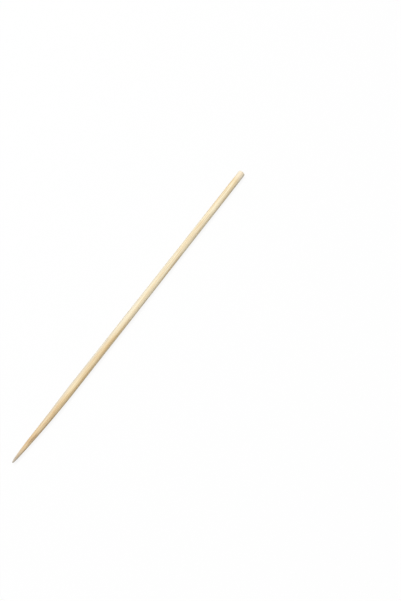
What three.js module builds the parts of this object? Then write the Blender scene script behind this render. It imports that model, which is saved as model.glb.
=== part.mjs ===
// A round bamboo skewer for grilling and serving food. It is one length of split bamboo, milled round,
// sawn square at one end and ground to a slender, slightly lopsided point at the other.
// All sizes are in millimetres.
//
// The origin is the centre of the sawn end. +X runs along the shaft to the point, and +Z is up with the
// skewer lying level. Its slight bow lies in the level XY plane, as that of any bent stick on a table.

import * as THREE from 'three';

// Whole skewer

const LENGTH = 200; // from the sawn end to the very tip
const DIAMETER = 4; // over the milled shaft

// Ground point

const POINT_LENGTH = 43; // the stretch over which the shaft narrows
const POINT_FULLNESS = 0.44; // power of the outline: 1 is a plain cone, and less is fuller
const TIP_DIAMETER = 0.45; // the grinding leaves the very end blunt
const NOSE_LENGTH = 0.3; // rounding of that blunt end
const TIP_OFFSET = 0.55; // how far the tip lies to one side of the shaft's centre line
const TIP_OFFSET_RUN = 30; // the last stretch, over which the point leaves that line

// Sawn end

const SAWN_EDGE = 0.2; // the edge that tumbling has worn off the saw cut

// Bow of the cane

const BOW = 0.1; // how far the middle of the shaft stands off the straight line

// Fineness of the surface

const SIDES = 48;
const SHAFT_STEPS = 12;
const POINT_STEPS = 24;
const NOSE_STEPS = 4;

// Bamboo

const BAMBOO_COLOUR = 0xecd9b0;
const BAMBOO_ROUGHNESS = 0.62;

const shaftRadius = DIAMETER / 2;
const tipRadius = TIP_DIAMETER / 2;
const shaftEnd = LENGTH - POINT_LENGTH;
const noseStart = LENGTH - NOSE_LENGTH;
const taperLength = noseStart - shaftEnd;

// Radius of the ground point at a distance back from the start of its rounded nose.
function pointRadius(back) {
  return tipRadius + (shaftRadius - tipRadius) * Math.pow(back / taperLength, POINT_FULLNESS);
}

// Half outline of the sawn end, from its centre out to the shaft.
function sawnEndOutline() {
  return [
    new THREE.Vector2(0, 0),
    new THREE.Vector2(shaftRadius - SAWN_EDGE, 0),
    new THREE.Vector2(shaftRadius, SAWN_EDGE),
  ];
}

// Half outline of the straight shaft.
function shaftOutline() {
  const points = [];
  for (let i = 1; i <= SHAFT_STEPS; i++) {
    points.push(new THREE.Vector2(shaftRadius, THREE.MathUtils.lerp(SAWN_EDGE, shaftEnd, i / SHAFT_STEPS)));
  }
  return points;
}

// Half outline of the point, with its steps closer together towards the tip, where it curves most.
function pointOutline() {
  const points = [];
  for (let i = POINT_STEPS - 1; i >= 0; i--) {
    const back = taperLength * Math.pow(i / POINT_STEPS, 2);
    points.push(new THREE.Vector2(pointRadius(back), noseStart - back));
  }
  return points;
}

// Half outline of the rounded nose, a quarter of an ellipse that ends on the centre line.
function noseOutline() {
  const points = [];
  for (let i = 1; i < NOSE_STEPS; i++) {
    const angle = (i / NOSE_STEPS) * (Math.PI / 2);
    points.push(new THREE.Vector2(tipRadius * Math.cos(angle), noseStart + NOSE_LENGTH * Math.sin(angle)));
  }
  points.push(new THREE.Vector2(0, LENGTH));
  return points;
}

// How far the centre line lies to the side at a distance along the skewer: the bow of the whole length,
// less the drift of the point.
function sideways(along) {
  const share = along / LENGTH;
  const bow = 4 * BOW * share * (1 - share);
  const drift = TIP_OFFSET * THREE.MathUtils.smoothstep(along, LENGTH - TIP_OFFSET_RUN, LENGTH);
  return bow - drift;
}

// Moves each ring of the turned shape sideways to its place on the centre line.
function bend(geometry) {
  const position = geometry.getAttribute('position');
  for (let i = 0; i < position.count; i++) {
    position.setY(i, position.getY(i) + sideways(position.getX(i)));
  }
  position.needsUpdate = true;
}

function skewerGeometry() {
  const outline = [...sawnEndOutline(), ...shaftOutline(), ...pointOutline(), ...noseOutline()];
  const geometry = new THREE.LatheGeometry(outline, SIDES);
  geometry.rotateZ(-Math.PI / 2);
  bend(geometry);
  geometry.computeVertexNormals();
  return geometry;
}

const bamboo = new THREE.MeshStandardMaterial({
  name: 'bamboo',
  color: BAMBOO_COLOUR,
  roughness: BAMBOO_ROUGHNESS,
  metalness: 0,
});

const skewer = new THREE.Mesh(skewerGeometry(), bamboo);
skewer.name = 'skewer';

const group = new THREE.Group();
group.name = 'bamboo_skewer';
group.add(skewer);

export default group;
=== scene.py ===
"""A round bamboo skewer with its fibre bundles, torn grain, sawn end and ground point.

The bundles are laid out first, as straight strands through the cane. Every point of the milled surface
then takes its colour and its fine relief from the strand that it cuts, so the streaks on the shaft, the
dots on the sawn end and the long ovals on the point all belong to the same strands.
"""

import math
import random

import bmesh
import bpy
from bpy.props import FloatProperty, FloatVectorProperty, IntProperty, PointerProperty
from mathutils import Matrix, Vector, kdtree, noise


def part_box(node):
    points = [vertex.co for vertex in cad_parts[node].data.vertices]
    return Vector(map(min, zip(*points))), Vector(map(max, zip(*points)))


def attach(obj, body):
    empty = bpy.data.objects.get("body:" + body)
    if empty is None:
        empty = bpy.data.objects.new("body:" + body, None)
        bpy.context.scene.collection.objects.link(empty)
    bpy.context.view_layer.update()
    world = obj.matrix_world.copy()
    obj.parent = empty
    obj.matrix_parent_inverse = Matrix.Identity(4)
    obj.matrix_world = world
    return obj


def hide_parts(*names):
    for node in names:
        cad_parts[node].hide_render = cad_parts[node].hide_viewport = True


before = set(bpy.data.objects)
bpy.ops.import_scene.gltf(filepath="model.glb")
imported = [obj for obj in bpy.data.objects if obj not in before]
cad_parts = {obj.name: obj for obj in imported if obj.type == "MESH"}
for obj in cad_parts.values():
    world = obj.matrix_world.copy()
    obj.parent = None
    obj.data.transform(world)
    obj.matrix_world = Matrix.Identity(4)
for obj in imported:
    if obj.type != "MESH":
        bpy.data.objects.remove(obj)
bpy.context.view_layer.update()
CAD_LOW, CAD_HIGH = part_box("skewer")

bl_info = {
    "name": "Bamboo Skewer",
    "version": (1, 0, 0),
    "blender": (4, 5, 0),
    "location": "View3D > Sidebar > Skewer",
    "description": "Models a round bamboo skewer with real fibre bundles and sets it on a white table",
    "category": "Add Mesh",
}

MM = 0.001


def linear(hex_colour):
    """The linear value of an sRGB colour written as #RRGGBB."""
    channels = (int(hex_colour[i:i + 2], 16) / 255 for i in (1, 3, 5))
    return tuple(c / 12.92 if c <= 0.04045 else ((c + 0.055) / 1.055) ** 2.4 for c in channels)


def distance(name, description, default):
    """A length property, in metres."""
    return FloatProperty(name=name, description=description, default=default, unit="LENGTH", precision=5)


def fraction(name, description, default):
    """A property from 0 to 1."""
    return FloatProperty(name=name, description=description, default=default, min=0, max=1)


def number(name, description, default):
    """A whole number property, 0 or more."""
    return IntProperty(name=name, description=description, default=default, min=0)


def position(name, description, default):
    """A property for a point in the scene, in metres."""
    return FloatVectorProperty(name=name, description=description, default=default, subtype="XYZ")


def colour(name, description, hex_colour):
    """A colour property, given as sRGB and kept linear."""
    return FloatVectorProperty(
        name=name, description=description, default=linear(hex_colour), subtype="COLOR", size=3, min=0, max=1
    )


class SkewerSizes(bpy.types.PropertyGroup):
    """Outer shape of the skewer, the same as the solid's."""

    length: distance("Length", "Sawn end to the very tip", CAD_HIGH.x - CAD_LOW.x)
    diameter: distance("Diameter", "Over the milled shaft", CAD_HIGH.z - CAD_LOW.z)
    point_length: distance("Point length", "Stretch over which the shaft narrows", 43 * MM)
    point_fullness: FloatProperty(
        name="Point fullness", description="Power of the point's outline, 1 for a plain cone", default=0.44
    )
    tip_diameter: distance("Tip diameter", "Blunt end that the grinding leaves", 0.45 * MM)
    nose_length: distance("Nose length", "Rounding of the blunt tip", 0.3 * MM)
    tip_offset: distance("Tip offset", "How far the tip lies to one side of the centre line", 0.55 * MM)
    tip_offset_run: distance("Tip offset run", "Last stretch, over which the point leaves the line", 30 * MM)
    sawn_edge: distance("Sawn edge", "Rounding worn on the edge of the saw cut", 0.2 * MM)
    bow: distance("Bow", "How far the middle of the shaft stands off a straight line", 0.1 * MM)


class SkewerGrain(bpy.types.PropertyGroup):
    """Fibre bundles, torn grain and dark fibres of the cane."""

    outer_spacing: distance("Outer spacing", "Between bundles next to the cane's skin", 0.4 * MM)
    inner_spacing: distance("Inner spacing", "Between bundles next to the cane's hollow", 0.85 * MM)
    outer_radius: distance("Outer radius", "Of a bundle next to the skin", 0.12 * MM)
    inner_radius: distance("Inner radius", "Of a bundle next to the hollow", 0.2 * MM)
    slope: FloatProperty(
        name="Grain slope",
        description="How far the grain leans off the milled axis, per length",
        default=0.006,
    )
    wander: distance("Wander", "How far a bundle strays from its straight line", 0.14 * MM)
    wander_length: distance("Wander length", "Over which a bundle strays and comes back", 38 * MM)
    bundle_relief: distance("Bundle relief", "How far a hard bundle stands proud of the pith", 0.014 * MM)
    vessel_depth: distance("Vessel depth", "Of the open vessels in the sawn end", 0.06 * MM)
    saw_mark_spacing: distance("Saw mark spacing", "Between the scratches of the saw cut", 0.33 * MM)
    saw_mark_depth: distance("Saw mark depth", "Of the scratches of the saw cut", 0.012 * MM)
    tears: number("Tears", "Grooves where the milling pulled a fibre out", 46)
    tear_length: distance("Tear length", "Of the longest torn groove", 30 * MM)
    tear_width: distance("Tear width", "Of the widest torn groove", 0.5 * MM)
    tear_depth: distance("Tear depth", "Of the deepest torn groove", 0.09 * MM)
    stains: number("Stains", "Small dark fibres all over", 36)
    stain_length: distance("Stain length", "Of the dark fibre beside the tip", 8 * MM)
    stain_width: distance("Stain width", "Of the dark fibre beside the tip", 0.9 * MM)
    stain_place: distance("Stain place", "From the tip to the near end of that fibre", 10.3 * MM)
    out_of_round: distance("Out of round", "How far the milled shaft strays from a true circle", 0.035 * MM)
    seed: number("Seed", "Layout of the bundles, tears and dark fibres", 7)


class BambooColours(bpy.types.PropertyGroup):
    """Colours of raw, unbleached bamboo, and of the painted sheen on its side towards the lamp."""

    pith: colour("Pith", "Soft ground tissue between the bundles", "#FBF0D0")
    straw: colour("Straw", "Ground tissue where the cane is riper", "#EFD8AA")
    # Painted sheen: a paler, greyer colour laid on the side that faces the lamp
    painted_sheen_colour: colour("Pale side", "The side on which the cane is paler and greyer", "#E8E4D6")
    bundle: colour("Bundle", "Fibre bundle cut lengthwise", "#DDB983")
    stain: colour("Stain", "Dark fibres at the surface", "#A3773E")
    tear: colour("Tear", "Shaded floor of a torn groove", "#CDA873")
    ground: colour("Ground point", "Wood browned a little by the grinding wheel", "#DBC39F")
    tip: colour("Tip", "The greyed last millimetres", "#BEB7AC")
    ground_grain: colour("Ground grain", "Tint of the grain lines on the ground point", "#E6D4BD")
    dried: colour("Dried end", "The paler last millimetres before the saw cut", "#F9EDD8")
    end_grain: colour("End grain", "Sawn face between the bundles", "#E8CFA4")
    end_bundle: colour("End bundle", "Bundles cut across on the sawn face", "#A67F50")


class StageSettings(bpy.types.PropertyGroup):
    """White table, soft lamp and camera."""

    lens: FloatProperty(name="Lens", description="Focal length", default=41.93, unit="CAMERA")
    camera_place: position("Camera place", "Where the camera stands", (0.20768, 0.11244, 0.33333))
    camera_aim: position("Camera aim", "The point in the middle of the picture", (0.07974, 0.02563, 0))
    table_size: distance("Table size", "Side of the white table", 6.0)
    lamp_place: position("Lamp place", "Middle of the soft lamp", (0.1, -0.5, 2.1))
    lamp_size: distance("Lamp size", "Side of the soft lamp", 1.2)
    lamp_power: FloatProperty(name="Lamp power", description="Of the soft lamp", default=34.0, unit="POWER")
    room_light: fraction("Room light", "Even light from all round", 0.4)
    shadow_share: fraction("Shadow share", "How much of the shadow shows on the white table", 0.12)


# Fineness of the mesh
SAWN_RINGS = 16
EDGE_STEPS = 4
SHAFT_STEP = 0.5 * MM
POINT_STEPS = 80
POINT_STEP_POWER = 1.6
NOSE_STEPS = 6
SIDES = 160
AXIS_CLEARANCE = 1e-6

# Layout of the bundles: the lean upwards against the lean sideways, the distance between rows in spacings,
# how far a bundle may be off its place in spacings, the range of its radius against the mean, and the range
# of the phase that gives it a wander of its own
UPWARD_LEAN = 0.4
ROW_SPACING = 0.87
BUNDLE_JITTER = 0.22
BUNDLE_GROWTH = (0.8, 1.2)
WANDER_PHASES = (0, 900)

# Where a bundle starts to fade and where it ends, in its radii
BUNDLE_EDGE = (0.55, 1.3)

# Torn grooves: where their middles lie, as shares of the skewer's length, the range that their size is drawn
# from, and the shares of the largest length, width and depth that even the smallest keeps
TEAR_PLACES = (0.01, 0.97)
TEAR_SIZES = (0.25, 1)
LEAST_TEAR_LENGTH = 0.25
LEAST_TEAR_WIDTH = 0.4
LEAST_TEAR_DEPTH = 0.3

# A dark fibre: the share of its half width that is fully dark, and how soon it is dark from its ends
STAIN_CORE = 0.3
STAIN_RISE = 1.5

# The dark fibre beside the tip: the direction in degrees at its far and near end, and its three lines, each
# with its place across, in spacings, and the shares of its length that are missing at the far and near end
STAIN_TURNS = (64, 58)
STAIN_LINES = ((-1, 0.12, 0.3), (0, 0, 0), (1, 0.35, 0.08))
STAIN_LINE_HALF_WIDTH = 0.6

# The small dark fibres: where they start, as a share of the skewer's length, their length and half width
# against the one beside the tip, how far they turn from end to end in radians, and how dark they are
SMALL_STAIN_STARTS = (0, 0.96)
SMALL_STAIN_LENGTHS = (0.45, 1.75)
SMALL_STAIN_SKEWS = (-0.1, 0.1)
SMALL_STAIN_WIDTHS = (0.17, 0.31)
SMALL_STAIN_STRENGTHS = (0.2, 0.7)

# The sawn face: the direction across its scratches, the size of its roughness, and how steep the vessels are
ACROSS_SCRATCHES = (0.9, 0.45)
SAWN_GRAIN = 0.25 * MM
VESSEL_STEEPNESS = 3

# How the milled shaft is uneven, as layers: the length of the waves, how close they lie round it, their share
SHAFT_WAVES = ((45 * MM, 1.1, 1), (9 * MM, 5, 0.35))

# Noise in the cane, as length and width of its features, detail and a shift that sets the layers apart. The
# real fibre streaks are 0.1 mm wide, and are drawn at 0.4 mm so that they show.
PATCHES = (34 * MM, 2.4 * MM, 1.5, 3.1)
STREAKS = (16 * MM, 0.42 * MM, 2.5, 11.7)
FIBRES = (7 * MM, 0.12 * MM, 2.0, 41.9)
WHEEL_MARKS = (0.22 * MM, 3 * MM, 2.0, 53.3)
NOISE_ROUGHNESS = 0.55

# How ripe the cane is along its length: where each change starts and ends, as shares of the length, and what
# it adds. The middle is palest, partly its own tone and partly painted light, as if light were thrown up onto
# it from below, and the point ripest.
RIPENING_AND_PAINTED_LIGHT = ((0.08, 0.2, -0.45), (0.48, 0.62, 0.45), (0.44, 0.8, 0.55))

# Ranges of the noise layers: the low and the high end, then the results there where they aren't 0 and 1
RIPE_PATCHES = (0.38, 0.66)
STREAK_SHARE = (0.44, 0.66, 0.0, 0.6)
POINT_LINES = (0.46, 0.6)
ROUGHNESS = (0.35, 0.7, 0.68, 0.5)

# The same for the distance from the saw cut
UNRIPE_AT_CUT = (2 * MM, 8 * MM, -0.5, 0.0)
DRIED_END = (3 * MM, 8 * MM, 0.6, 0.0)
SAWN_FACE = (0.04 * MM, 0.14 * MM, 1.0, 0.0)

# The same for the painted sheen, which makes the side towards the lamp paler and greyer, first across the
# skewer and then by shares of its length
PAINTED_SHEEN_ACROSS = (-0.8 * MM, 0.45 * MM, 0.55, 0.0)
PAINTED_SHEEN_FROM_CUT = (0.05, 0.65)
PAINTED_SHEEN_TO_POINT = (0.86, 0.93, 1.0, 0.0)

# Strength of the bundles' colour, and how much of the ripening, painted light included, is added to it
BUNDLE_STRENGTH = 0.5
BUNDLE_RIPENESS = 0.5

# Strengths of the other colours, where 1 would hide what lies under them
STAIN_STRENGTH = 0.95
TEAR_STRENGTH = 0.6
BROWNING = 0.6
GREYING = 0.85
POINT_GRAIN = 0.55

# The greyed stretch behind the tip, and the stretches of the point over which its grain lines and its wheel
# marks come in
GREYED_LENGTH = 9 * MM
POINT_GRAIN_RUN = 20 * MM
WHEEL_MARK_RUN = 8 * MM

# Relief that only the shading shows
WHEEL_MARK_SHARE = 0.5
BUMP_STRENGTH = 0.5
BUMP_HEIGHT = 0.02 * MM

# Sockets of a Mix node that mixes colours
MIX_SHARE = 0
MIX_FIRST = 6
MIX_SECOND = 7
MIX_RESULT = 2

# Tone of the white board, as the camera sees it and as it throws light back
BOARD_SEEN = (0.92, 0.92, 0.92)
BOARD_THROWN = (0.45, 0.45, 0.45)
PURE_WHITE = (1, 1, 1, 1)

CAMERA_NEAR = 0.01


def spaced(start, end, count):
    """count values after start, the last of them at end."""
    return [start + (end - start) * (i + 1) / count for i in range(count)]


def smooth_step(low, high, value):
    """0 below low, 1 above high and smooth between."""
    t = min(1, max(0, (value - low) / (high - low)))
    return t * t * (3 - 2 * t)


def at_least(least, share):
    """A share from 0 to 1, brought into the range from least to 1."""
    return least + (1 - least) * share


def point_radius(sizes, back):
    """Radius of the ground point at a distance back from the start of its rounded nose."""
    tip = sizes.tip_diameter / 2
    taper = sizes.point_length - sizes.nose_length
    return tip + (sizes.diameter / 2 - tip) * (back / taper) ** sizes.point_fullness


def half_outline(sizes):
    """(along, radius) from the middle of the sawn end, out over its edge and along to the tip."""
    radius = sizes.diameter / 2
    tip_radius = sizes.tip_diameter / 2
    edge = sizes.sawn_edge
    shaft_end = sizes.length - sizes.point_length
    nose_start = sizes.length - sizes.nose_length
    taper = nose_start - shaft_end
    outline = [(0, 0)]
    outline += [(0, r) for r in spaced(0, radius - edge, SAWN_RINGS)]
    for turn in spaced(0, math.pi / 2, EDGE_STEPS):
        outline.append((edge * (1 - math.cos(turn)), radius - edge * (1 - math.sin(turn))))
    outline += [(x, radius) for x in spaced(edge, shaft_end, round((shaft_end - edge) / SHAFT_STEP))]
    for i in range(POINT_STEPS - 1, -1, -1):
        back = taper * (i / POINT_STEPS) ** POINT_STEP_POWER
        outline.append((nose_start - back, point_radius(sizes, back)))
    for turn in spaced(0, math.pi / 2, NOSE_STEPS)[:-1]:
        outline.append((nose_start + sizes.nose_length * math.sin(turn), tip_radius * math.cos(turn)))
    outline.append((sizes.length, 0))
    return outline


def turned(outline):
    """The closed body that the half outline sweeps when it is spun once round the X axis."""
    bm = bmesh.new()
    verts = [bm.verts.new((x, 0, r)) for x, r in outline]
    edges = [bm.edges.new(pair) for pair in zip(verts, verts[1:])]
    bmesh.ops.spin(
        bm, geom=verts + edges, cent=(0, 0, 0), axis=(1, 0, 0), angle=math.tau, steps=SIDES, use_merge=True
    )
    bmesh.ops.remove_doubles(bm, verts=bm.verts, dist=AXIS_CLEARANCE)
    bmesh.ops.recalc_face_normals(bm, faces=bm.faces)
    return bm


class Strand:
    """One fibre bundle: its place in the section at mid length, its radius and its own wander."""

    def __init__(self, y, z, radius, phase):
        self.y = y
        self.z = z
        self.radius = radius
        self.phase = phase

    def place(self, grain, along, middle):
        """Centre of the strand in the section at a distance along the skewer."""
        lean = grain.slope * (along - middle)
        part = along / grain.wander_length
        drift_y = grain.wander * noise.noise(Vector((part, self.phase, 0)))
        drift_z = grain.wander * noise.noise(Vector((part, 0, self.phase)))
        return Vector((self.y + lean + drift_y, self.z + UPWARD_LEAN * lean + drift_z, 0))


def strands(grain, sizes, rng):
    """All fibre bundles, close and fine towards +Z, where the cane's skin was, and coarse below."""
    reach = sizes.diameter / 2 + grain.slope * sizes.length / 2 + grain.wander
    found = []
    z = reach
    row = 0
    while z > -reach:
        depth = (reach - z) / (2 * reach)
        spacing = grain.outer_spacing + (grain.inner_spacing - grain.outer_spacing) * depth
        radius = grain.outer_radius + (grain.inner_radius - grain.outer_radius) * depth
        y = -reach + (spacing / 2 if row % 2 else 0)
        while y < reach:
            jitter_y = rng.uniform(-BUNDLE_JITTER, BUNDLE_JITTER) * spacing
            jitter_z = rng.uniform(-BUNDLE_JITTER, BUNDLE_JITTER) * spacing
            grown = radius * rng.uniform(*BUNDLE_GROWTH)
            found.append(Strand(y + jitter_y, z + jitter_z, grown, rng.uniform(*WANDER_PHASES)))
            y += spacing
        z -= spacing * ROW_SPACING
        row += 1
    return found


def gap_round(turn, other, radius):
    """How far apart two directions lie on a round surface."""
    return abs((turn - other + math.pi) % math.tau - math.pi) * radius


class Tear:
    """A long shallow groove where the cutter pulled a fibre out of the shaft."""

    def __init__(self, grain, sizes, rng):
        size = rng.uniform(*TEAR_SIZES) ** 2
        self.middle = rng.uniform(*TEAR_PLACES) * sizes.length
        self.half_length = grain.tear_length / 2 * at_least(LEAST_TEAR_LENGTH, size)
        self.turn = rng.uniform(0, math.tau)
        self.half_width = grain.tear_width / 2 * at_least(LEAST_TEAR_WIDTH, size)
        self.depth = grain.tear_depth * at_least(LEAST_TEAR_DEPTH, size)

    def share(self, along, turn, radius):
        """0 outside the groove, 1 on its deepest line."""
        lengthwise = abs(along - self.middle) / self.half_length
        if lengthwise >= 1:
            return 0
        across = gap_round(turn, self.turn, radius) / self.half_width
        if across >= 1:
            return 0
        return (1 - lengthwise ** 2) * (1 - across ** 2) ** 2


class Stain:
    """A dark fibre laid open on the surface, running slightly askew."""

    def __init__(self, start, end, start_turn, end_turn, half_width, strength):
        self.start = start
        self.end = end
        self.start_turn = start_turn
        self.end_turn = end_turn
        self.half_width = half_width
        self.strength = strength

    def share(self, along, turn, radius):
        """0 beside the fibre and at its ends, its full strength in its middle."""
        part = (along - self.start) / (self.end - self.start)
        if part <= 0 or part >= 1:
            return 0
        line = self.start_turn + (self.end_turn - self.start_turn) * part
        apart = gap_round(turn, line, radius)
        across = 1 - smooth_step(STAIN_CORE * self.half_width, self.half_width, apart)
        return self.strength * across * min(1, STAIN_RISE * math.sin(math.pi * part))


def tip_stain(grain, sizes):
    """The dark fibre beside the tip, as lines of unlike lengths that lie side by side."""
    end = sizes.length - grain.stain_place
    spacing = grain.stain_width / len(STAIN_LINES)
    half_width = STAIN_LINE_HALF_WIDTH * spacing
    radius = point_radius(sizes, grain.stain_place + grain.stain_length / 2)
    lines = []
    for place, far_cut, near_cut in STAIN_LINES:
        turns = [math.radians(turn) + place * spacing / radius for turn in STAIN_TURNS]
        far = end - grain.stain_length * (1 - far_cut)
        near = end - grain.stain_length * near_cut
        lines.append(Stain(far, near, *turns, half_width, 1))
    return lines


def stains(grain, sizes, rng):
    """The dark fibre beside the tip and small ones all over."""
    found = tip_stain(grain, sizes)
    for _ in range(grain.stains):
        start = rng.uniform(*SMALL_STAIN_STARTS) * sizes.length
        turn = rng.uniform(0, math.tau)
        length = grain.stain_length * rng.uniform(*SMALL_STAIN_LENGTHS)
        skew = rng.uniform(*SMALL_STAIN_SKEWS)
        half_width = grain.stain_width / 2 * rng.uniform(*SMALL_STAIN_WIDTHS)
        strength = rng.uniform(*SMALL_STAIN_STRENGTHS)
        found.append(Stain(start, start + length, turn, turn + skew, half_width, strength))
    return found


def rows_by_place(bm):
    """The vertices grouped by how far along the skewer they lie."""
    rows = {}
    for vert in bm.verts:
        rows.setdefault(round(vert.co.x / AXIS_CLEARANCE), []).append(vert)
    return rows.values()


def strand_tree(found, grain, along, middle):
    """A search tree of the strands' centres in one section."""
    tree = kdtree.KDTree(len(found))
    for index, strand in enumerate(found):
        tree.insert(strand.place(grain, along, middle), index)
    tree.balance()
    return tree


def bundle_share(tree, found, place):
    """1 in the middle of a fibre bundle, 0 outside every one."""
    _, index, apart = tree.find(place)
    fade_start, fade_end = (found[index].radius * edge for edge in BUNDLE_EDGE)
    return 1 - smooth_step(fade_start, fade_end, apart)


def carve(bm, sizes, grain):
    """Gives the turned body its fibre relief, and stores what each vertex cuts as three attributes."""
    rng = random.Random(grain.seed)
    found = strands(grain, sizes, rng)
    tears = [Tear(grain, sizes, rng) for _ in range(grain.tears)]
    dark = stains(grain, sizes, rng)
    bundle_layer = bm.verts.layers.float.new("bundle")
    tear_layer = bm.verts.layers.float.new("tear")
    stain_layer = bm.verts.layers.float.new("stain")
    middle = sizes.length / 2
    for row in rows_by_place(bm):
        along = row[0].co.x
        tree = strand_tree(found, grain, along, middle)
        near = [t for t in tears if abs(along - t.middle) < t.half_length]
        for vert in row:
            section = Vector((vert.co.y, vert.co.z, 0))
            bundle = bundle_share(tree, found, section)
            vert[bundle_layer] = bundle
            if section.length < AXIS_CLEARANCE:
                continue
            if along < AXIS_CLEARANCE:
                vert.co.x += sawn_relief(grain, section, bundle)
                continue
            turn = math.atan2(section.y, section.x)
            torn = max([t.depth * t.share(along, turn, section.length) for t in near], default=0)
            vert[tear_layer] = torn / grain.tear_depth
            vert[stain_layer] = max(s.share(along, turn, section.length) for s in dark)
            move = side_relief(grain, along, section, bundle) - torn
            thin = min(1, section.length / (sizes.diameter / 2))
            vert.co.y += section.x / section.length * move * thin
            vert.co.z += section.y / section.length * move * thin


def sawn_relief(grain, section, bundle):
    """How far a point of the sawn face lies in from its flat: saw scratches and open vessels."""
    across = section.x * ACROSS_SCRATCHES[0] + section.y * ACROSS_SCRATCHES[1]
    scratch = 0.5 + 0.5 * math.sin(math.tau * across / grain.saw_mark_spacing)
    rough = 0.5 + 0.5 * noise.noise(section / SAWN_GRAIN)
    return grain.saw_mark_depth * (scratch + rough) + grain.vessel_depth * bundle ** VESSEL_STEEPNESS


def side_relief(grain, along, section, bundle):
    """How far a point of the shaft stands out from the true circle, tears apart."""
    around = section.normalized()
    uneven = sum(
        share * noise.noise(Vector((along / length, around.x * closeness, around.y * closeness)))
        for length, closeness, share in SHAFT_WAVES
    )
    return grain.out_of_round * uneven + grain.bundle_relief * bundle


def sideways(sizes, along):
    """How far the centre line lies to the side: the bow, less the drift of the point."""
    share = along / sizes.length
    drift = sizes.tip_offset * smooth_step(sizes.length - sizes.tip_offset_run, sizes.length, along)
    return 4 * sizes.bow * share * (1 - share) - drift


def bend(bm, sizes):
    """Moves each ring sideways to its place on the centre line."""
    for vert in bm.verts:
        vert.co.y += sideways(sizes, vert.co.x)


def add_node(tree, kind, settings=None, links=None):
    """Adds one node. A setting or a link is named by the node's own property, or by an input's name or
    place."""
    made = tree.nodes.new(kind)
    for key, value in (settings or {}).items():
        if isinstance(key, str) and hasattr(made, key):
            setattr(made, key, value)
        else:
            made.inputs[key].default_value = value
    for key, source in (links or {}).items():
        tree.links.new(source, made.inputs[key])
    return made


def mixed(tree, share, first, second, blend="MIX"):
    """Mixes two colours, each a socket or a linear colour, by a share, and gives the result's socket."""
    mix = add_node(tree, "ShaderNodeMix", {"data_type": "RGBA", "blend_type": blend, "clamp_factor": True})
    for place, value in ((MIX_SHARE, share), (MIX_FIRST, first), (MIX_SECOND, second)):
        if isinstance(value, bpy.types.NodeSocket):
            tree.links.new(value, mix.inputs[place])
        elif place == MIX_SHARE:
            mix.inputs[place].default_value = value
        else:
            mix.inputs[place].default_value = (*value, 1)
    return mix.outputs[MIX_RESULT]


def ranged(tree, value, low, high, to_low=0.0, to_high=1.0):
    """Maps a value from low..high to to_low..to_high, smoothly and held at both ends."""
    settings = {
        "interpolation_type": "SMOOTHSTEP",
        "From Min": low,
        "From Max": high,
        "To Min": to_low,
        "To Max": to_high,
    }
    return add_node(tree, "ShaderNodeMapRange", settings, {"Value": value}).outputs["Result"]


def calculated(tree, operation, *values):
    """Chains Math nodes of two inputs over the values, each of them a socket or a number."""
    result = values[0]
    for value in values[1:]:
        made = add_node(tree, "ShaderNodeMath", {"operation": operation})
        for place, source in enumerate((result, value)):
            if isinstance(source, bpy.types.NodeSocket):
                tree.links.new(source, made.inputs[place])
            else:
                made.inputs[place].default_value = source
        result = made.outputs[0]
    return result


def attribute(tree, name):
    """What the mesh holds for each vertex under that name."""
    return add_node(tree, "ShaderNodeAttribute", {"attribute_name": name}).outputs["Fac"]


def stretched_noise(tree, coordinates, length, width, detail, shift):
    """Noise drawn out along the grain, with features of the given real length and width."""
    settings = {"Location": (shift, shift, shift), "Scale": (1 / length, 1 / width, 1 / width)}
    placed = add_node(tree, "ShaderNodeMapping", settings, {"Vector": coordinates})
    settings = {"noise_dimensions": "3D", "Scale": 1.0, "Detail": detail, "Roughness": NOISE_ROUGHNESS}
    return add_node(tree, "ShaderNodeTexNoise", settings, {"Vector": placed.outputs[0]}).outputs["Fac"]


def cane_colour(tree, coordinates, along, along_share, streaks, colours):
    """Soft tissue in riper and paler patches a few centimetres long, with its streaks and bundles. Its paler
    middle is partly painted light.
    """
    changes = [ranged(tree, along_share, start, end, 0.0, change) for start, end, change in RIPENING_AND_PAINTED_LIGHT]
    # The trend along the length is partly painted light: the paler middle stands in for light thrown up onto
    # it
    trend = calculated(tree, "ADD", *changes)
    patches = ranged(tree, stretched_noise(tree, coordinates, *PATCHES), *RIPE_PATCHES)
    ripeness_and_painted_light = calculated(tree, "ADD", patches, trend, ranged(tree, along, *UNRIPE_AT_CUT))
    tissue = mixed(tree, ripeness_and_painted_light, colours.pith, colours.straw)
    streaked = mixed(tree, ranged(tree, streaks, *STREAK_SHARE), tissue, colours.bundle)
    added = calculated(tree, "MULTIPLY", trend, BUNDLE_RIPENESS)
    strength = calculated(tree, "ADD", BUNDLE_STRENGTH, added)
    bundle = calculated(tree, "MULTIPLY", attribute(tree, "bundle"), strength)
    return mixed(tree, bundle, streaked, colours.bundle)


def with_painted_sheen(tree, base, across, along_share, colours):
    """Painted sheen: the side towards the lamp is made paler and greyer, most of all in the half next to the
    point.
    """
    from_cut = ranged(tree, along_share, *PAINTED_SHEEN_FROM_CUT)
    to_point = ranged(tree, along_share, *PAINTED_SHEEN_TO_POINT)
    share = calculated(tree, "MULTIPLY", from_cut, to_point, ranged(tree, across, *PAINTED_SHEEN_ACROSS))
    return mixed(tree, share, base, colours.painted_sheen_colour)


def blemished(tree, base, colours):
    """Dark fibres and the shaded floors of the torn grooves."""
    stain = calculated(tree, "MULTIPLY", attribute(tree, "stain"), STAIN_STRENGTH)
    tear = calculated(tree, "MULTIPLY", attribute(tree, "tear"), TEAR_STRENGTH)
    return mixed(tree, tear, mixed(tree, stain, base, colours.stain), colours.tear)


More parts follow.
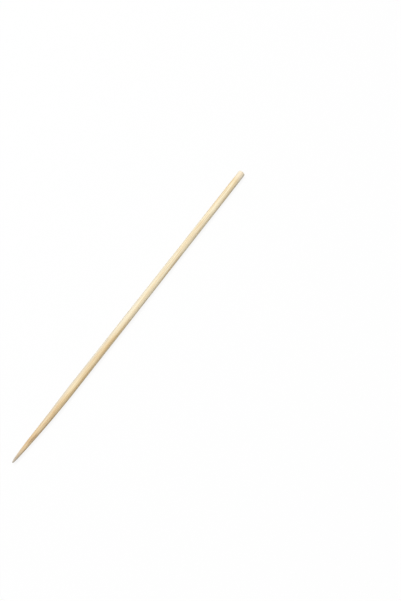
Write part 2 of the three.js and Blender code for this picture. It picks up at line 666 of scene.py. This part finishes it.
def ground_point(tree, base, along, streaks, colours, sizes):
    """The point, browned by the wheel and greyed at its very tip, with the grain running on over it."""
    shaft_end = sizes.length - sizes.point_length
    browned = mixed(tree, ranged(tree, along, shaft_end, sizes.length, 0.0, BROWNING), base, colours.ground)
    grey_start = sizes.length - GREYED_LENGTH
    greyed = mixed(tree, ranged(tree, along, grey_start, sizes.length, 0.0, GREYING), browned, colours.tip)
    on_point = ranged(tree, along, shaft_end, shaft_end + POINT_GRAIN_RUN, 0.0, POINT_GRAIN)
    lines = calculated(tree, "MULTIPLY", ranged(tree, streaks, *POINT_LINES), on_point)
    return mixed(tree, lines, greyed, colours.ground_grain, "MULTIPLY")


def sawn_end(tree, base, along, colours):
    """The end, dried out and paler behind the cut, with the same strands cut across on its face."""
    dried = mixed(tree, ranged(tree, along, *DRIED_END), base, colours.dried)
    face = mixed(tree, attribute(tree, "bundle"), colours.end_grain, colours.end_bundle)
    return mixed(tree, ranged(tree, along, *SAWN_FACE), dried, face)


def bamboo_colour(tree, coordinates, streaks, colours, sizes):
    """The colour of the cane, its painted sheen, its blemishes and its two worked ends, each laid over what
    comes before.
    """
    place = add_node(tree, "ShaderNodeSeparateXYZ", links={"Vector": coordinates})
    along = place.outputs["X"]
    along_share = calculated(tree, "DIVIDE", along, sizes.length)
    base = cane_colour(tree, coordinates, along, along_share, streaks, colours)
    # Painted sheen on the side towards the lamp
    base = with_painted_sheen(tree, base, place.outputs["Y"], along_share, colours)
    base = blemished(tree, base, colours)
    base = ground_point(tree, base, along, streaks, colours, sizes)
    return sawn_end(tree, base, along, colours)


def bamboo_height(tree, coordinates, streaks, sizes):
    """The fine relief under what the mesh holds: fibres along the shaft and wheel marks round the point."""
    along = add_node(tree, "ShaderNodeSeparateXYZ", links={"Vector": coordinates}).outputs["X"]
    shaft_end = sizes.length - sizes.point_length
    on_point = ranged(tree, along, shaft_end, shaft_end + WHEEL_MARK_RUN, 0.0, WHEEL_MARK_SHARE)
    marks = calculated(tree, "MULTIPLY", stretched_noise(tree, coordinates, *WHEEL_MARKS), on_point)
    return calculated(tree, "ADD", stretched_noise(tree, coordinates, *FIBRES), streaks, marks)


def new_material(name):
    """An empty node material, with its node tree."""
    material = bpy.data.materials.new(name)
    material.use_nodes = True
    material.node_tree.nodes.clear()
    return material, material.node_tree


def raw_bamboo(colours, sizes):
    """Raw bamboo, milled and tumbled but not varnished: pale straw fibres in a paler pith, with a dull
    silky sheen where the hard bundles are smooth and a dry, rough look between them."""
    material, tree = new_material("raw_milled_bamboo")
    coordinates = add_node(tree, "ShaderNodeTexCoord").outputs["Object"]
    streaks = stretched_noise(tree, coordinates, *STREAKS)
    height = bamboo_height(tree, coordinates, streaks, sizes)
    bump_settings = {"Strength": BUMP_STRENGTH, "Distance": BUMP_HEIGHT}
    links = {
        "Base Color": bamboo_colour(tree, coordinates, streaks, colours, sizes),
        "Roughness": ranged(tree, streaks, *ROUGHNESS),
        "Normal": add_node(tree, "ShaderNodeBump", bump_settings, {"Height": height}).outputs["Normal"],
    }
    shader = add_node(tree, "ShaderNodeBsdfPrincipled", {"IOR": 1.5, "Metallic": 0.0}, links)
    add_node(tree, "ShaderNodeOutputMaterial", links={"Surface": shader.outputs["BSDF"]})
    return material


def background_rays(tree):
    """1 for the rays that show a background: straight to the camera, or by a gloss or through glass."""
    path = add_node(tree, "ShaderNodeLightPath")
    rays = [path.outputs[name] for name in ("Is Camera Ray", "Is Glossy Ray", "Is Transmission Ray")]
    return calculated(tree, "MAXIMUM", *rays)


def white_table(settings):
    """Matt white board that shows as pure white, with only a share of the shadow left on it. It throws
    less light back on the skewer than a real one, so that the shaded side stays as dark as it should."""
    material, tree = new_material("matt_white_board")
    path = add_node(tree, "ShaderNodeLightPath")
    tone = mixed(tree, path.outputs["Is Diffuse Ray"], BOARD_SEEN, BOARD_THROWN)
    board = add_node(tree, "ShaderNodeBsdfDiffuse", links={"Color": tone})
    white = add_node(tree, "ShaderNodeEmission", {"Color": PURE_WHITE, "Strength": 1.0})
    lifted = calculated(tree, "MULTIPLY", background_rays(tree), 1 - settings.shadow_share)
    links = {0: lifted, 1: board.outputs["BSDF"], 2: white.outputs["Emission"]}
    surface = add_node(tree, "ShaderNodeMixShader", links=links)
    add_node(tree, "ShaderNodeOutputMaterial", links={"Surface": surface.outputs["Shader"]})
    return material


def white_room(settings):
    """Even light from all round, seen as pure white."""
    world = bpy.data.worlds.new("white_room")
    world.use_nodes = True
    tree = world.node_tree
    tree.nodes.clear()
    range_settings = {"To Min": settings.room_light, "To Max": 1.0}
    strength = add_node(tree, "ShaderNodeMapRange", range_settings, {"Value": background_rays(tree)})
    links = {"Strength": strength.outputs["Result"]}
    background = add_node(tree, "ShaderNodeBackground", {"Color": PURE_WHITE}, links)
    add_node(tree, "ShaderNodeOutputWorld", links={"Surface": background.outputs["Background"]})
    bpy.context.scene.world = world


def linked(name, data):
    """A new object of that data, in the scene."""
    made = bpy.data.objects.new(name, data)
    bpy.context.scene.collection.objects.link(made)
    return made


def aimed(made, place, aim):
    """Puts a lamp or camera at a place and turns it, upright, to look at a point."""
    made.location = place
    made.rotation_euler = (Vector(aim) - Vector(place)).to_track_quat("-Z", "Y").to_euler()


def add_table(settings, height):
    """The flat white table that the skewer lies on."""
    bm = bmesh.new()
    bmesh.ops.create_grid(bm, x_segments=1, y_segments=1, size=settings.table_size / 2)
    bmesh.ops.translate(bm, verts=bm.verts, vec=(0, 0, height))
    mesh = bpy.data.meshes.new("table")
    bm.to_mesh(mesh)
    bm.free()
    mesh.materials.append(white_table(settings))
    linked("table", mesh)


def add_lamp(settings):
    """One large soft lamp to the upper left of the picture."""
    lamp = bpy.data.lights.new("soft_lamp", "AREA")
    lamp.shape = "SQUARE"
    lamp.size = settings.lamp_size
    lamp.energy = settings.lamp_power
    middle = (CAD_HIGH + CAD_LOW) / 2
    aimed(linked("soft_lamp", lamp), settings.lamp_place, middle)


def add_camera(settings):
    """The camera, on the side of the point and looking down at the table."""
    data = bpy.data.cameras.new("camera")
    data.lens = settings.lens
    data.clip_start = CAMERA_NEAR
    camera = linked("camera", data)
    aimed(camera, settings.camera_place, settings.camera_aim)
    bpy.context.scene.camera = camera


class BAMBOO_OT_turn_skewer(bpy.types.Operator):
    """Model the skewer and give it its bamboo"""

    bl_idname = "bamboo.turn_skewer"
    bl_label = "Turn Skewer"
    bl_options = {"REGISTER", "UNDO"}

    def execute(self, context):
        scene = context.scene
        sizes = scene.skewer_sizes
        bm = turned(half_outline(sizes))
        carve(bm, sizes, scene.skewer_grain)
        bend(bm, sizes)
        mesh = bpy.data.meshes.new("bamboo_skewer")
        bm.to_mesh(mesh)
        bm.free()
        mesh.shade_smooth()
        mesh.materials.append(raw_bamboo(scene.bamboo_colours, sizes))
        skewer = linked("bamboo_skewer", mesh)
        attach(skewer, "root")
        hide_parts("skewer")
        return {"FINISHED"}


class BAMBOO_OT_set_stage(bpy.types.Operator):
    """Set up the white table, the light and the camera"""

    bl_idname = "bamboo.set_stage"
    bl_label = "Set Stage"
    bl_options = {"REGISTER", "UNDO"}

    def execute(self, context):
        scene = context.scene
        settings = scene.skewer_stage
        scene.view_settings.view_transform = "Standard"
        white_room(settings)
        # The relief stands a little below the solid, by less than the shaft is out of round
        add_table(settings, CAD_LOW.z - scene.skewer_grain.out_of_round)
        add_lamp(settings)
        add_camera(settings)
        return {"FINISHED"}


class BAMBOO_PT_skewer(bpy.types.Panel):
    """Sidebar panel with the skewer's sizes, grain, colours and stage"""

    bl_idname = "BAMBOO_PT_skewer"
    bl_label = "Bamboo Skewer"
    bl_space_type = "VIEW_3D"
    bl_region_type = "UI"
    bl_category = "Skewer"

    def draw(self, context):
        scene = context.scene
        groups = (
            (scene.skewer_sizes, BAMBOO_OT_turn_skewer),
            (scene.skewer_grain, None),
            (scene.bamboo_colours, None),
            (scene.skewer_stage, BAMBOO_OT_set_stage),
        )
        for group, operator in groups:
            box = self.layout.box()
            for name in group.bl_rna.properties.keys():
                if name not in ("rna_type", "name"):
                    box.prop(group, name)
            if operator:
                box.operator(operator.bl_idname)


CLASSES = (
    SkewerSizes,
    SkewerGrain,
    BambooColours,
    StageSettings,
    BAMBOO_OT_turn_skewer,
    BAMBOO_OT_set_stage,
    BAMBOO_PT_skewer,
)


def register():
    for item in CLASSES:
        bpy.utils.register_class(item)
    bpy.types.Scene.skewer_sizes = PointerProperty(type=SkewerSizes)
    bpy.types.Scene.skewer_grain = PointerProperty(type=SkewerGrain)
    bpy.types.Scene.bamboo_colours = PointerProperty(type=BambooColours)
    bpy.types.Scene.skewer_stage = PointerProperty(type=StageSettings)


def unregister():
    del bpy.types.Scene.skewer_stage
    del bpy.types.Scene.bamboo_colours
    del bpy.types.Scene.skewer_grain
    del bpy.types.Scene.skewer_sizes
    for item in reversed(CLASSES):
        bpy.utils.unregister_class(item)


def main():
    register()
    bpy.ops.bamboo.turn_skewer()
    bpy.ops.bamboo.set_stage()


if __name__ == "__main__":
    main()
